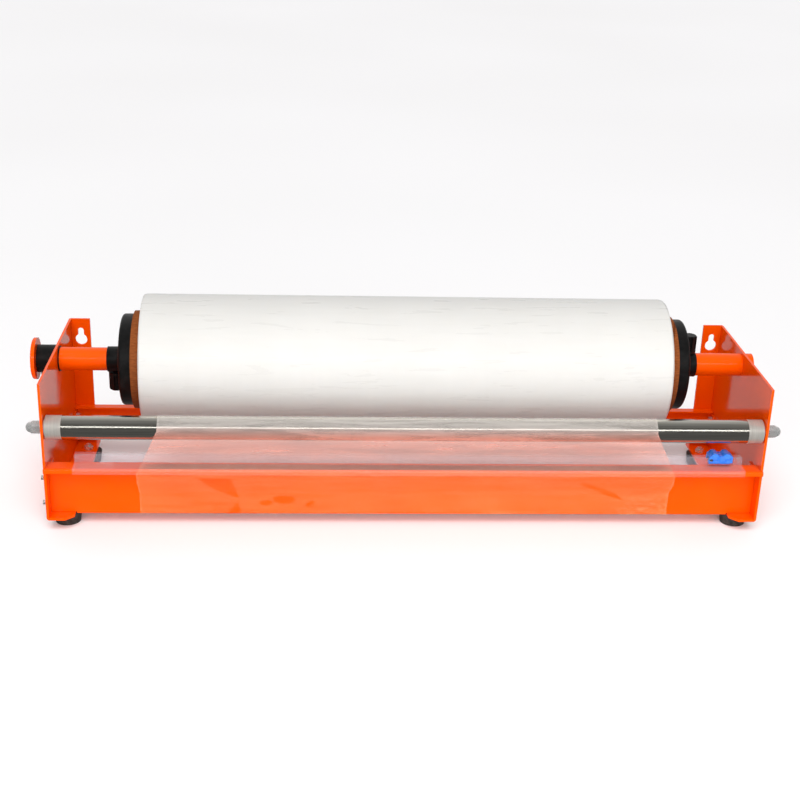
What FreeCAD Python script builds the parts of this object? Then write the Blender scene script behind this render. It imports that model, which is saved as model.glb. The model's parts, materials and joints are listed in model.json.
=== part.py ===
"""Bench-top cling film dispenser: two folded side plates, a front and a rear rail, a film roll on
two chucks, a guide roller, and a clear cutter track with a sliding cutter.

Frame: millimetres, +Z up, +X to the user's right, -Y towards the user. The origin is on the
bench, midway between the side plates and midway along their depth.
"""
import FreeCAD, Part
import math
import os
import re
import Sketcher
from FreeCAD import Placement, Rotation, Vector

doc = FreeCAD.newDocument("film_dispenser")

# --- driving dimensions ---------------------------------------------------------------------
DIMENSIONS = {
    # folded sheet frame
    "overall_width": 600.0,
    "plate_depth": 160.0,
    "plate_height": 122.0,
    "plate_sheet": 2.0,
    "rail_sheet": 1.5,
    "bend_radius": 2.4,
    "rail_bend_radius": 1.8,
    "bottom_flange": 22.0,
    "rear_flange": 18.5,
    "flange_corner_cut": 7.0,
    "sheet_gap": 0.1,
    "key_entry_radius": 5.25,
    "key_slot_radius": 2.6,
    "key_entry_height": 112.5,
    "key_slot_rise": 8.4,
    "key_inset": 10.0,
    # how far a cutting tool passes beyond a face, or a joined part into its neighbour
    "over_cut": 1.0,
    # front rail with its lip, rear rail
    "lip_height": 48.0,
    "lip_overhang": 2.0,
    "lip_depth": 16.0,
    "lip_gap": 0.3,
    "hem_height": 4.0,
    "rail_return": 15.0,
    "end_flange_depth": 16.0,
    "end_flange_top": 44.0,
    "rear_rail_rise": 10.0,
    "rear_rail_height": 29.0,
    "rear_return": 7.5,
    "rear_end_flange_top": 36.0,
    # fasteners
    "screw_radius": 2.0,
    "screw_hole_radius": 2.15,
    "screw_head_radius": 4.0,
    "screw_head_height": 2.6,
    "screw_recess_width": 1.0,
    "screw_recess_length": 4.4,
    "screw_recess_depth": 1.2,
    "front_screw_setback": 20.0,
    "front_screw_low": 7.0,
    "rear_screw_setback": 12.0,
    "rear_screw_low": 17.0,
    "screw_high": 30.0,
    "screw_end": 6.0,
    "nut_across": 7.0,
    "nut_height": 3.2,
    # feet
    "foot_height": 10.0,
    "foot_radius": 12.0,
    "foot_bottom_radius": 10.5,
    "foot_recess_radius": 4.6,
    "foot_recess_depth": 4.0,
    "foot_inset": 14.0,
    "foot_setback": 21.0,
    "foot_screw_top": 17.0,
    # spindles and chucks
    "spindle_depth": 12.0,
    "spindle_height": 119.0,
    "tube_radius": 10.0,
    "tube_bore_radius": 8.5,
    "tube_inner_end": 257.0,
    "right_tube_end": 308.0,
    "bush_radius": 12.0,
    "bush_spigot_radius": 11.0,
    "bush_length": 16.0,
    "bush_spigot_end": 297.0,
    "spindle_clearance": 0.075,
    "disc_radius": 18.0,
    "disc_thickness": 3.5,
    "disc_gap": 0.5,
    "disc_spigot_length": 8.0,
    "axle_radius": 4.0,
    "axle_across": 13.0,
    "axle_head": 5.3,
    "axle_gap": 0.3,
    "insert_length": 14.0,
    "chuck_flange_radius": 39.5,
    "chuck_flange_thickness": 10.5,
    "chuck_rim_radius": 2.5,
    "chuck_hub_radius": 11.0,
    "chuck_hub_gap": 0.3,
    "chuck_plug_radius": 37.8,
    "chuck_plug_depth": 18.5,
    "chuck_lead_in": 3.0,
    "chuck_boss_radius": 9.0,
    "chuck_wall": 3.0,
    "knob_radius": 6.4,
    "knob_length": 16.0,
    "knob_flute_radius": 1.4,
    "knob_plain_end": 2.0,
    "knob_round": 1.6,
    "knob_gap": 0.5,
    "thumb_stud_radius": 2.5,
    "thumb_stud_clearance": 0.075,
    # film roll
    "film_width": 450.0,
    "film_roll_radius": 57.0,
    "core_radius": 42.3,
    "core_bore_radius": 38.1,
    "core_length": 466.0,
    # guide roller
    "roller_depth": -70.0,
    "roller_height": 90.5,
    "roller_radius": 10.0,
    "roller_wall": 1.2,
    "roller_half_length": 297.0,
    "roller_bush_length": 13.0,
    "roller_spigot_length": 14.0,
    "rod_radius": 3.0,
    "rod_clearance": 0.075,
    "rod_half_length": 310.0,
    "thrust_washer_radius": 7.0,
    "thrust_washer_gap": 0.1,
    "washer_radius": 6.0,
    "washer_thickness": 1.2,
    "acorn_across": 10.0,
    "acorn_height": 12.3,
    "acorn_dome_inset": 0.5,
    "acorn_chamfer": 3.0,
    # cutter track and slider
    "track_left": -276.0,
    "track_right": 284.0,
    "tape_thickness": 0.3,
    "tape_inset": 2.0,
    "track_base": 1.1,
    "track_leg": 1.0,
    "track_rail_front": -71.0,
    "track_rail_width": 6.5,
    "track_rail_height": 6.6,
    "track_wall": 1.0,
    "track_roof": 1.5,
    "track_slot": 2.0,
    "track_stop_length": 3.0,
    "slider_centre": 265.0,
    "slider_length": 20.5,
    "slider_gap": 0.6,
    "slider_side": 2.0,
    "slider_skirt_rise": 3.0,
    "slider_top": 68.4,
    "slider_round": 1.2,
    "slider_hump_radius": 4.0,
    "slider_hump_pitch": 10.2,
    "slider_hump_top": 70.6,
    "slider_hump_round": 0.9,
    "grip_width": 4.0,
    "grip_depth": 0.5,
    "grip_low": 3.6,
    "grip_height": 1.2,
    "window_low": 1.2,
    "window_height": 2.4,
    "window_reach": 2.6,
    "slider_neck": 1.2,
    "slider_foot_length": 18.5,
    "slider_foot_gap": 0.3,
    "blade_thickness": 0.4,
    "blade_length": 19.0,
    "blade_height": 3.8,
    "blade_rise": 0.7,
    # film off the roll, thicker than real film so that it has a body
    "film_gauge": 0.3,
    "film_gap": 0.3,
    "web_width": 413.0,
    "drop_width": 430.0,
    "tail_width": 448.0,
    "tail_bottom": 11.0,
    "tail_turn": 1.0,
}

dims = doc.addObject("Spreadsheet::Sheet", "Dims")
for row, (alias, value) in enumerate(DIMENSIONS.items(), start=1):
    dims.set("A%d" % row, alias)
    dims.set("B%d" % row, repr(value))
    dims.setAlias("B%d" % row, alias)
doc.recompute()

ALIAS = re.compile(r"[a-z]+(?:_[a-z]+)+")


def formula(text):
    """The text with the sheet's name put before each alias."""
    return ALIAS.sub(lambda found: "Dims." + found.group(0), str(text))


def size(text):
    """A formula's value now."""
    return float(dims.evalExpression(text))


def bind(obj, **formulas):
    """Bind properties of obj to formulas of the driving dimensions."""
    for name, text in formulas.items():
        obj.setExpression(name, formula(text))
    return obj


def put(obj, x, y, z):
    """Bind an object's place to three formulas."""
    for axis, text in zip("xyz", (x, y, z)):
        obj.setExpression("Placement.Base." + axis, formula(text))
    return obj


def minus(text):
    return "-(%s)" % text


def span(side, inner, outer):
    """The range of X from inner to outer on the right (side 1) or on the left (side -1)."""
    return (inner, outer) if side > 0 else (minus(outer), minus(inner))


# --- primitives and booleans ----------------------------------------------------------------
TURN = {
    "X": Rotation(Vector(0, 1, 0), 90),
    "Y": Rotation(Vector(1, 0, 0), -90),
    "Z": Rotation(),
}


def block(name, x, y, z):
    """A box between two formulas on each axis."""
    obj = doc.addObject("Part::Box", name)
    for prop, (low, high) in zip(("Length", "Width", "Height"), (x, y, z)):
        obj.setExpression(prop, formula("(%s) - (%s)" % (high, low)))
    return put(obj, x[0], y[0], z[0])


def at_start(axis, start, across):
    """The three coordinates of a point at start along an axis; across holds the other two."""
    place = list(across)
    place.insert("XYZ".index(axis), start)
    return place


def cylinder(name, axis, radius, start, end, across):
    obj = doc.addObject("Part::Cylinder", name)
    obj.Placement = Placement(Vector(), TURN[axis])
    bind(obj, Radius=radius, Height="(%s) - (%s)" % (end, start))
    return put(obj, *at_start(axis, start, across))


def cone(name, axis, radius_start, radius_end, start, end, across):
    obj = doc.addObject("Part::Cone", name)
    obj.Placement = Placement(Vector(), TURN[axis])
    bind(obj, Radius1=radius_start, Radius2=radius_end, Height="(%s) - (%s)" % (end, start))
    return put(obj, *at_start(axis, start, across))


def hexagon(name, axis, across_flats, start, end, across):
    obj = doc.addObject("Part::Prism", name)
    obj.Polygon = 6
    obj.Placement = Placement(Vector(), TURN[axis])
    bind(obj, Circumradius="(%s) / sqrt(3)" % across_flats, Height="(%s) - (%s)" % (end, start))
    return put(obj, *at_start(axis, start, across))


def fuse(name, *parts):
    obj = doc.addObject("Part::MultiFuse", name)
    obj.Shapes = list(parts)
    obj.Refine = True
    return obj


def cut(name, base, *tools):
    obj = doc.addObject("Part::Cut", name)
    obj.Base = base
    obj.Tool = tools[0] if len(tools) == 1 else fuse(name + "_tools", *tools)
    obj.Refine = True
    return obj


def rounded(name, base, radius, chosen):
    """Fillet the edges of base that chosen(edge) picks."""
    doc.recompute()
    obj = doc.addObject("Part::Fillet", name)
    obj.Base = base
    picked = [i for i, edge in enumerate(base.Shape.Edges, start=1) if chosen(edge)]
    obj.Edges = [(i, radius, radius) for i in picked]
    return obj


def group(name, members):
    """Several separate solids that share one node."""
    obj = doc.addObject("Part::Compound", name)
    obj.Links = members
    return obj


PIECES = []


def piece(label, obj):
    """Name a finished sub-part."""
    obj.Label = label
    PIECES.append(obj)
    return obj


# --- sketched bodies ------------------------------------------------------------------------
def origin_plane(body, role):
    return next(f for f in body.Origin.OriginFeatures if f.Role == role)


STEPS = {"right": (1, 0), "left": (-1, 0), "up": (0, 1), "down": (0, -1)}


def stepped_outline(body, name, role, steps):
    """A closed outline of level and upright lines, from the sketch's origin.

    steps is a list of (direction, formula). The last two lines close the outline, so their
    formulas only place them and get no constraint.
    """
    sketch = body.newObject("Sketcher::SketchObject", name)
    sketch.AttachmentSupport = (origin_plane(body, role), [""])
    sketch.MapMode = "FlatFace"
    here = Vector()
    lengths = [size(text) for _, text in steps]
    for (direction, _), length in zip(steps, lengths):
        dx, dy = STEPS[direction]
        there = here + Vector(dx, dy) * length
        sketch.addGeometry(Part.LineSegment(here, there), False)
        here = there
    count = len(steps)
    for i in range(count):
        sketch.addConstraint(Sketcher.Constraint("Coincident", i, 2, (i + 1) % count, 1))
    sketch.addConstraint(Sketcher.Constraint("Coincident", 0, 1, -1, 1))
    for i, (direction, text) in enumerate(steps):
        level = direction in ("right", "left")
        sketch.addConstraint(Sketcher.Constraint("Horizontal" if level else "Vertical", i))
        if i >= count - 2:
            continue
        ends = (1, 2) if direction in ("right", "up") else (2, 1)
        kind = "DistanceX" if level else "DistanceY"
        index = sketch.addConstraint(
            Sketcher.Constraint(kind, i, ends[0], i, ends[1], lengths[i]))
        sketch.setExpression("Constraints[%d]" % index, formula(text))
    return sketch


def pad(body, name, sketch, length, both_ways=False, reverse=False):
    feature = body.newObject("PartDesign::Pad", name)
    feature.Profile = sketch
    if both_ways:
        feature.SideType = "Symmetric"
    feature.Reversed = reverse
    return bind(feature, Length=length)


def soften(body, name, base, radius, chosen):
    """Fillet chosen edges of a body's last feature, such as the outside of its bends."""
    doc.recompute()
    names = ["Edge%d" % i for i, edge in enumerate(base.Shape.Edges, start=1) if chosen(edge)]
    feature = body.newObject("PartDesign::Fillet", name)
    feature.Base = (base, names)
    return bind(feature, Radius=radius)


def runs_along(edge, axis):
    """Whether an edge is a straight line along an axis."""
    if not isinstance(edge.Curve, Part.Line):
        return False
    way = edge.Vertexes[1].Point - edge.Vertexes[0].Point
    return abs(getattr(way.normalize(), axis)) > 0.999


def middle(edge):
    return edge.valueAt((edge.FirstParameter + edge.LastParameter) / 2)


def near(value, target):
    return abs(value - target) < 0.01


SIDES = {"left": -1, "right": 1}
ROLLER_AXIS = ("roller_depth", "roller_height")
SPINDLE_AXIS = ("spindle_depth", "spindle_height")
PLATE_INNER = "overall_width / 2 - plate_sheet"
PLATE_OUTER = "overall_width / 2"
FRONT = "-plate_depth / 2"
REAR = "plate_depth / 2"
LIP_TOP = "foot_height + lip_height"
REAR_RAIL_FOOT = "foot_height + rear_rail_rise"
BUSH_SCREW_X = "-(overall_width / 2 + bush_length / 2)"
CHUCK_RIBS = 3
KNOB_FLUTES = 8


# --- side plates ----------------------------------------------------------------------------
def side_screw_places():
    """Depth and height of the rail screws in a side plate, front pair first."""
    front = FRONT + " + front_screw_setback"
    rear = REAR + " - rear_screw_setback"
    high = "foot_height + screw_high"
    return {
        "front": [(front, "foot_height + front_screw_low"), (front, high)],
        "rear": [(rear, "foot_height + rear_screw_low"), (rear, high)],
    }


def foot_places():
    """Distance from the middle and depth of each side's two feet."""
    across = "overall_width / 2 - foot_inset"
    return [(across, FRONT + " + foot_setback"), (across, REAR + " - foot_setback")]


def side_sheet():
    """The right plate as folded: the upright sheet, its rear flange and its bottom flange."""
    body = doc.addObject("PartDesign::Body", "side_sheet")
    put(body, PLATE_INNER, FRONT, "foot_height")
    upright = stepped_outline(body, "side_plan", "XY_Plane", [
        ("right", "plate_sheet"), ("up", "plate_depth"), ("left", "rear_flange"),
        ("down", "plate_sheet"), ("right", "rear_flange - plate_sheet"),
        ("down", "plate_depth - plate_sheet")])
    pad(body, "side_upright", upright, "plate_height")
    flange = stepped_outline(body, "side_floor_plan", "XY_Plane", [
        ("left", "bottom_flange - plate_sheet"), ("up", "plate_depth"),
        ("right", "bottom_flange - plate_sheet"), ("down", "plate_depth")])
    floor = pad(body, "side_floor", flange, "plate_sheet")
    doc.recompute()
    inner = -size("bottom_flange - plate_sheet")
    corner = body.newObject("PartDesign::Chamfer", "side_floor_corner")
    corner.Base = (floor, ["Edge%d" % i for i, edge in enumerate(floor.Shape.Edges, start=1)
                           if runs_along(edge, "z") and near(middle(edge).x, inner)
                           and near(middle(edge).y, 0)])
    bind(corner, Size="flange_corner_cut")
    outer, back = size("plate_sheet"), size("plate_depth")
    soften(body, "side_bends", corner, "bend_radius", lambda edge: (
        near(middle(edge).x, outer)
        and (runs_along(edge, "z") and near(middle(edge).y, back)
             or runs_along(edge, "y") and near(middle(edge).z, 0))))
    return body


def side_blank():
    """The right plate with all that the two sides have in common cut out."""
    through = (PLATE_INNER + " - over_cut", PLATE_OUTER + " + over_cut")
    lip_under = LIP_TOP + " - rail_sheet - lip_gap"
    tools = [
        block("lip_notch", through, (FRONT + " - over_cut", FRONT + " - lip_overhang + lip_depth + lip_gap"),
              (lip_under, LIP_TOP + " + lip_gap")),
        cylinder("rod_hole", "X", "rod_radius + sheet_gap", *through, ROLLER_AXIS),
    ]
    for end, places in side_screw_places().items():
        for i, place in enumerate(places):
            tools.append(cylinder("%s_screw_hole_%d" % (end, i), "X", "screw_hole_radius",
                                  *through, place))
    for i, place in enumerate(foot_places()):
        tools.append(cylinder("foot_hole_%d" % i, "Z", "screw_hole_radius",
                              "foot_height - over_cut", "foot_height + plate_sheet + over_cut", place))
    key_x = "overall_width / 2 - key_inset"
    key_through = (REAR + " - plate_sheet - over_cut", REAR + " + over_cut")
    key_top = "key_entry_height + key_slot_rise"
    tools += [
        cylinder("key_entry", "Y", "key_entry_radius", *key_through, (key_x, "key_entry_height")),
        cylinder("key_slot_end", "Y", "key_slot_radius", *key_through, (key_x, key_top)),
        block("key_slot", (key_x + " - key_slot_radius", key_x + " + key_slot_radius"),
              key_through, ("key_entry_height", key_top)),
    ]
    return cut("side_blank", side_sheet(), *tools)


def side_plates():
    through = (PLATE_INNER + " - over_cut", PLATE_OUTER + " + over_cut")
    blank = side_blank()
    tube_hole = cylinder("tube_hole", "X", "tube_radius", *through, SPINDLE_AXIS)
    piece("right_side_plate", cut("right_plate", blank, tube_hole))
    other = doc.addObject("Part::Mirroring", "left_blank")
    other.Source = blank
    other.Normal = Vector(1, 0, 0)
    bush_hole = cylinder("bush_hole", "X", "bush_spigot_radius", minus(through[1]),
                         minus(through[0]), SPINDLE_AXIS)
    piece("left_side_plate", cut("left_plate", other, bush_hole))


# --- front and rear rails -------------------------------------------------------------------
def end_flanges(name, depth, height):
    """The two ends of a rail, folded back along the side plates."""
    outer = PLATE_INNER + " - sheet_gap"
    return [block("%s_end_%s" % (name, side), span(sign, outer + " - rail_sheet", outer),
                  depth, height) for side, sign in SIDES.items()]


def screw_holes(name, places):
    """Holes for the screws in a rail's two end flanges."""
    outer = PLATE_INNER + " - sheet_gap"
    tools = []
    for side, sign in SIDES.items():
        x = span(sign, outer + " - rail_sheet - over_cut", outer + " + over_cut")
        for i, place in enumerate(places):
            tools.append(cylinder("%s_hole_%s_%d" % (name, side, i), "X", "screw_hole_radius",
                                  *x, place))
    return tools


def front_rail():
    """A folded panel with a hemmed lip along its top and a stiffening return at its foot."""
    body = doc.addObject("PartDesign::Body", "front_rail_sheet")
    hem = "foot_height + lip_height - hem_height"
    put(body, "0", FRONT + " - lip_overhang", hem)
    section = stepped_outline(body, "front_rail_section", "YZ_Plane", [
        ("up", "hem_height"), ("right", "lip_depth"), ("down", "lip_height - rail_sheet"),
        ("right", "rail_return"), ("down", "rail_sheet"), ("left", "rail_return + rail_sheet"),
        ("up", "lip_height - rail_sheet"), ("left", "lip_depth - 2 * rail_sheet"),
        ("down", "hem_height - rail_sheet"), ("left", "rail_sheet")])
    folded = pad(body, "front_rail_pad", section, "overall_width", both_ways=True)
    top, deep = size("hem_height"), size("lip_depth")
    foot, face = size("hem_height - lip_height"), size("lip_depth - rail_sheet")
    corners = [(0.0, top), (deep, top), (face, foot)]
    soften(body, "front_rail_bends", folded, "rail_bend_radius", lambda edge: (
        runs_along(edge, "x")
        and any(near(middle(edge).y, y) and near(middle(edge).z, z) for y, z in corners)))
    panel_face = FRONT + " - lip_overhang + lip_depth - rail_sheet"
    ends = end_flanges("front_rail", (panel_face, panel_face + " + end_flange_depth"),
                       ("foot_height", "foot_height + end_flange_top"))
    behind = (FRONT + " - lip_overhang + rail_sheet", "0")
    tools = screw_holes("front_rail", side_screw_places()["front"])
    for side, sign in SIDES.items():
        flange = span(sign, PLATE_OUTER + " - bottom_flange - over_cut", PLATE_OUTER + " + over_cut")
        tools.append(block("flange_room_" + side, flange, behind,
                           ("0", "foot_height + plate_sheet + lip_gap")))
        beyond = span(sign, PLATE_INNER + " - sheet_gap", PLATE_OUTER + " + over_cut")
        tools.append(block("panel_trim_" + side, beyond, behind,
                           ("0", LIP_TOP + " - rail_sheet")))
    piece("front_rail", cut("front_rail_cut", fuse("front_rail_whole", body, *ends), *tools))


def rear_rail():
    """A channel that opens forwards, inside the side plates' rear flanges."""
    body = doc.addObject("PartDesign::Body", "rear_rail_sheet")
    back = REAR + " - plate_sheet - sheet_gap"
    put(body, "0", back, REAR_RAIL_FOOT)
    section = stepped_outline(body, "rear_rail_section", "YZ_Plane", [
        ("up", "rear_rail_height"), ("left", "rear_return + rail_sheet"), ("down", "rail_sheet"),
        ("right", "rear_return"), ("down", "rear_rail_height - 2 * rail_sheet"),
        ("left", "rear_return"), ("down", "rail_sheet"), ("right", "rear_return + rail_sheet")])
    folded = pad(body, "rear_rail_pad", section, "overall_width - 2 * (plate_sheet + sheet_gap)",
                 both_ways=True)
    top = size("rear_rail_height")
    soften(body, "rear_rail_bends", folded, "rail_bend_radius", lambda edge: (
        runs_along(edge, "x") and near(middle(edge).y, 0)
        and (near(middle(edge).z, 0) or near(middle(edge).z, top))))
    ends = end_flanges("rear_rail", (back + " - end_flange_depth", back),
                       (REAR_RAIL_FOOT, "foot_height + rear_end_flange_top"))
    tools = screw_holes("rear_rail", side_screw_places()["rear"])
    piece("rear_rail", cut("rear_rail_cut", fuse("rear_rail_whole", body, *ends), *tools))


# --- fasteners and feet ---------------------------------------------------------------------
def pan_screw(name, axis, head_start, head_end, shank_end, place, sign):
    """A cross-recess screw along an axis, head first; sign says which way the shank points."""
    order = (lambda low, high: (low, high)) if sign > 0 else (lambda low, high: (high, low))
    head = cylinder(name + "_head", axis, "screw_head_radius", *order(head_start, head_end), place)
    shank = cylinder(name + "_shank", axis, "screw_radius", *order(head_end, shank_end), place)
    bottom = "(%s) + %d * screw_recess_depth" % (head_start, sign)
    depth = order("(%s) - %d" % (head_start, sign), bottom)
    slots = []
    for i in range(2):
        halves = ["screw_recess_length / 2", "screw_recess_width / 2"]
        if i:
            halves.reverse()
        ranges = [("(%s) - %s" % (at, half), "(%s) + %s" % (at, half))
                  for at, half in zip(place, halves)]
        ranges.insert("XYZ".index(axis), depth)
        slots.append(block("%s_cross_%d" % (name, i), *ranges))
    return cut(name, fuse(name + "_blank", head, shank), *slots)


def hex_nut(name, axis, start, end, place):
    body = hexagon(name + "_hex", axis, "nut_across", start, end, place)
    hole = cylinder(name + "_thread", axis, "screw_radius", start + " - over_cut", end + " + over_cut", place)
    return cut(name, body, hole)


def rail_fasteners():
    seat = PLATE_INNER + " - sheet_gap - rail_sheet"
    for end, places in side_screw_places().items():
        screws, nuts = [], []
        for side, sign in SIDES.items():
            for i, place in enumerate(places):
                name = "%s_%s_screw_%d" % (end, side, i)
                along = ["%d * (%s)" % (sign, x) for x in (
                    seat + " - screw_head_height", seat, PLATE_OUTER + " + screw_end")]
                screws.append(pan_screw(name, "X", *along, place, sign))
                nuts.append(hex_nut("%s_%s_nut_%d" % (end, side, i), "X",
                                    *span(sign, PLATE_OUTER, PLATE_OUTER + " + nut_height"),
                                    place))
        piece(end + "_rail_screws", group(end + "_screw_group", screws))
        piece(end + "_rail_nuts", group(end + "_nut_group", nuts))


def feet():
    pads, screws, nuts = [], [], []
    flange_top = "foot_height + plate_sheet"
    for side, sign in SIDES.items():
        for i, (across, depth) in enumerate(foot_places()):
            name = "%s_foot_%d" % (side, i)
            place = ("%d * (%s)" % (sign, across), depth)
            rubber = cone(name + "_pad", "Z", "foot_bottom_radius", "foot_radius",
                          "0", "foot_height", place)
            recess = cylinder(name + "_recess", "Z", "foot_recess_radius", "-over_cut",
                              "foot_recess_depth", place)
            bore = cylinder(name + "_bore", "Z", "screw_hole_radius", "0", "foot_height + over_cut",
                            place)
            pads.append(cut(name, rubber, recess, bore))
            screws.append(pan_screw(name + "_screw", "Z", "foot_recess_depth - screw_head_height",
                                    "foot_recess_depth", "foot_screw_top", place, 1))
            nuts.append(hex_nut(name + "_nut", "Z", flange_top, flange_top + " + nut_height",
                                place))
    piece("rubber_feet", group("foot_group", pads))
    piece("foot_screws", group("foot_screw_group", screws))
    piece("foot_nuts", group("foot_nut_group", nuts))


# --- spindles, chucks and the film roll -----------------------------------------------------
def tube(name, axis, outer, inner, start, end, across):
    wall = cylinder(name + "_outside", axis, outer, start, end, across)
    hollow = cylinder(name + "_inside", axis, inner, "(%s) - over_cut" % start,
                      "(%s) + over_cut" % end, across)
    return cut(name, wall, hollow)


CHUCK_FACE = "core_length / 2"
FLANGE_FACE = "core_length / 2 + chuck_flange_thickness"
PLUG_END = "core_length / 2 - chuck_plug_depth"


def spindle(side):
    """A spindle tube with the threaded insert and the shoulder bolt that its chuck turns on."""
    sign = SIDES[side]
    outer_end = {"left": "overall_width / 2 + bush_length + disc_gap",
                 "right": "right_tube_end"}[side]
    piece(side + "_spindle_tube", tube(side + "_tube", "X", "tube_radius", "tube_bore_radius",
                                       *span(sign, "tube_inner_end", outer_end), SPINDLE_AXIS))
    inside = span(sign, "tube_inner_end", "tube_inner_end + insert_length")
    piece(side + "_tube_insert", tube(side + "_insert", "X", "tube_bore_radius", "axle_radius",
                                      *inside, SPINDLE_AXIS))
    head = span(sign, PLUG_END + " - axle_gap - axle_head", PLUG_END + " - axle_gap")
    shank = span(sign, PLUG_END + " - axle_gap", "tube_inner_end + insert_length")
    piece(side + "_axle_bolt", fuse(
        side + "_bolt",
        hexagon(side + "_bolt_head", "X", "axle_across", *head, SPINDLE_AXIS),
        cylinder(side + "_bolt_shank", "X", "axle_radius", *shank, SPINDLE_AXIS)))


def chuck(side, screw_way):
    """A flanged core plug with a hub; screw_way is +1 when its drag screw points up."""
    sign = SIDES[side]
    name = side + "_chuck"
    rim_x = sign * size(FLANGE_FACE)
    disc = rounded(name + "_disc", cylinder(name + "_flange", "X", "chuck_flange_radius",
                                            *span(sign, CHUCK_FACE, FLANGE_FACE), SPINDLE_AXIS),
                   size("chuck_rim_radius"),
                   lambda edge: isinstance(edge.Curve, Part.Circle) and near(middle(edge).x, rim_x))
    lead = span(sign, PLUG_END, PLUG_END + " + chuck_lead_in")
    radii = ["chuck_plug_radius - chuck_lead_in / 3", "chuck_plug_radius"][::sign]
    plug = fuse(name + "_plug",
                cone(name + "_lead_in", "X", *radii, *lead, SPINDLE_AXIS),
                cylinder(name + "_plug_wall", "X", "chuck_plug_radius",
                         *span(sign, PLUG_END + " + chuck_lead_in", CHUCK_FACE), SPINDLE_AXIS))
    hollow = cylinder(name + "_hollow", "X", "chuck_plug_radius - chuck_wall",
                      *span(sign, PLUG_END + " - over_cut", CHUCK_FACE), SPINDLE_AXIS)
    parts = [disc, cut(name + "_ring", plug, hollow)]
    boss_end = "tube_inner_end - chuck_hub_gap"
    parts.append(cylinder(name + "_hub", "X", "chuck_hub_radius",
                          *span(sign, CHUCK_FACE, boss_end), SPINDLE_AXIS))
    parts.append(cylinder(name + "_boss", "X", "chuck_boss_radius",
                          *span(sign, PLUG_END, CHUCK_FACE), SPINDLE_AXIS))
    reach = "chuck_plug_radius - chuck_wall / 2"
    for i in range(CHUCK_RIBS):
        rib = block("%s_rib_%d" % (name, i), span(sign, PLUG_END + " + chuck_lead_in", CHUCK_FACE),
                    (minus(reach), reach), ("-chuck_wall / 2", "chuck_wall / 2"))
        turned = group("%s_rib_%d_turned" % (name, i), [rib])
        turned.Placement = Placement(Vector(), Rotation(Vector(1, 0, 0), 180 / CHUCK_RIBS * i))
        parts.append(put(turned, "0", *SPINDLE_AXIS))
    bore = cylinder(name + "_bore", "X", "axle_radius + spindle_clearance",
                    *span(sign, PLUG_END + " - over_cut", "tube_inner_end"), SPINDLE_AXIS)
    screw_hole = cylinder(name + "_screw_hole", "Z", "thumb_stud_radius + thumb_stud_clearance",
                          *span(screw_way, "spindle_height * %d" % screw_way,
                                "spindle_height * %d + chuck_hub_radius + over_cut" % screw_way),
                          (thumb_x(side), "spindle_depth"))
    piece(side + "_chuck", cut(name, fuse(name + "_whole", *parts), bore, screw_hole))


def thumb_x(side):
    """Where a chuck's drag screw stands along X: the middle of the hub."""
    return "%d * (%s + tube_inner_end) / 2" % (SIDES[side], FLANGE_FACE)


def thumb_screw(label, x, way, tip, collar):
    """A fluted knob on a stud. tip and collar are distances from the spindle's axis."""
    centre = "%d * spindle_height" % way
    knob_start = collar + " + knob_gap"
    knob = cylinder(label + "_knob", "Z", "knob_radius",
                    *span(way, "%s + %s" % (centre, knob_start),
                          "%s + %s + knob_length" % (centre, knob_start)), (x, "spindle_depth"))
    end_z = size("spindle_height") + way * size(knob_start + " + knob_length")
    smooth = rounded(label + "_rounded", knob, size("knob_round"),
                     lambda edge: isinstance(edge.Curve, Part.Circle)
                     and near(middle(edge).z, end_z))
    flutes = []
    for i in range(KNOB_FLUTES):
        turn = 360.0 * i / KNOB_FLUTES
        place = ("%s + knob_radius * cos(%g)" % (x, turn),
                 "spindle_depth + knob_radius * sin(%g)" % turn)
        flutes.append(cylinder("%s_flute_%d" % (label, i), "Z", "knob_flute_radius",
                               *span(way, "%s + %s + knob_plain_end" % (centre, knob_start),
                                     "%s + %s + knob_length + over_cut" % (centre, knob_start)), place))
    stud = cylinder(label + "_stud", "Z", "thumb_stud_radius",
                    *span(way, "%s + %s" % (centre, tip), "%s + %s + over_cut" % (centre, knob_start)),
                    (x, "spindle_depth"))
    piece(label, fuse(label + "_whole", cut(label + "_fluted", smooth, *flutes), stud))


def left_bush():
    """The plastic bush in the left plate that the left spindle slides through."""
    bore = "tube_radius + spindle_clearance"
    collar = cylinder("bush_collar", "X", "bush_radius",
                      *span(-1, PLATE_OUTER, PLATE_OUTER + " + bush_length"), SPINDLE_AXIS)
    spigot = cylinder("bush_spigot", "X", "bush_spigot_radius",
                      *span(-1, "bush_spigot_end", PLATE_OUTER), SPINDLE_AXIS)
    hollow = cylinder("bush_bore", "X", bore,
                      *span(-1, "bush_spigot_end - over_cut", PLATE_OUTER + " + bush_length + over_cut"),
                      SPINDLE_AXIS)
    screw_hole = cylinder("bush_screw_hole", "Z", "thumb_stud_radius + thumb_stud_clearance",
                          "spindle_height - bush_radius - over_cut", "spindle_height",
                          (BUSH_SCREW_X, "spindle_depth"))
    piece("left_guide_bush", cut("left_bush", fuse("bush_whole", collar, spigot),
                                 hollow, screw_hole))


def pull_disc():
    """The disc on the left spindle's outer end, with a spigot in the tube."""
    face = PLATE_OUTER + " + bush_length + disc_gap"
    x = span(-1, face, face + " + disc_thickness")
    outer = -size(face + " + disc_thickness")
    disc = rounded("disc_rounded", cylinder("disc_plate", "X", "disc_radius", *x, SPINDLE_AXIS),
                   size("disc_thickness") / 3,
                   lambda edge: isinstance(edge.Curve, Part.Circle) and near(middle(edge).x, outer))
    spigot = cylinder("disc_spigot", "X", "tube_bore_radius",
                      *span(-1, face + " - disc_spigot_length", face), SPINDLE_AXIS)
    piece("left_pull_disc", fuse("disc_whole", disc, spigot))


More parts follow.
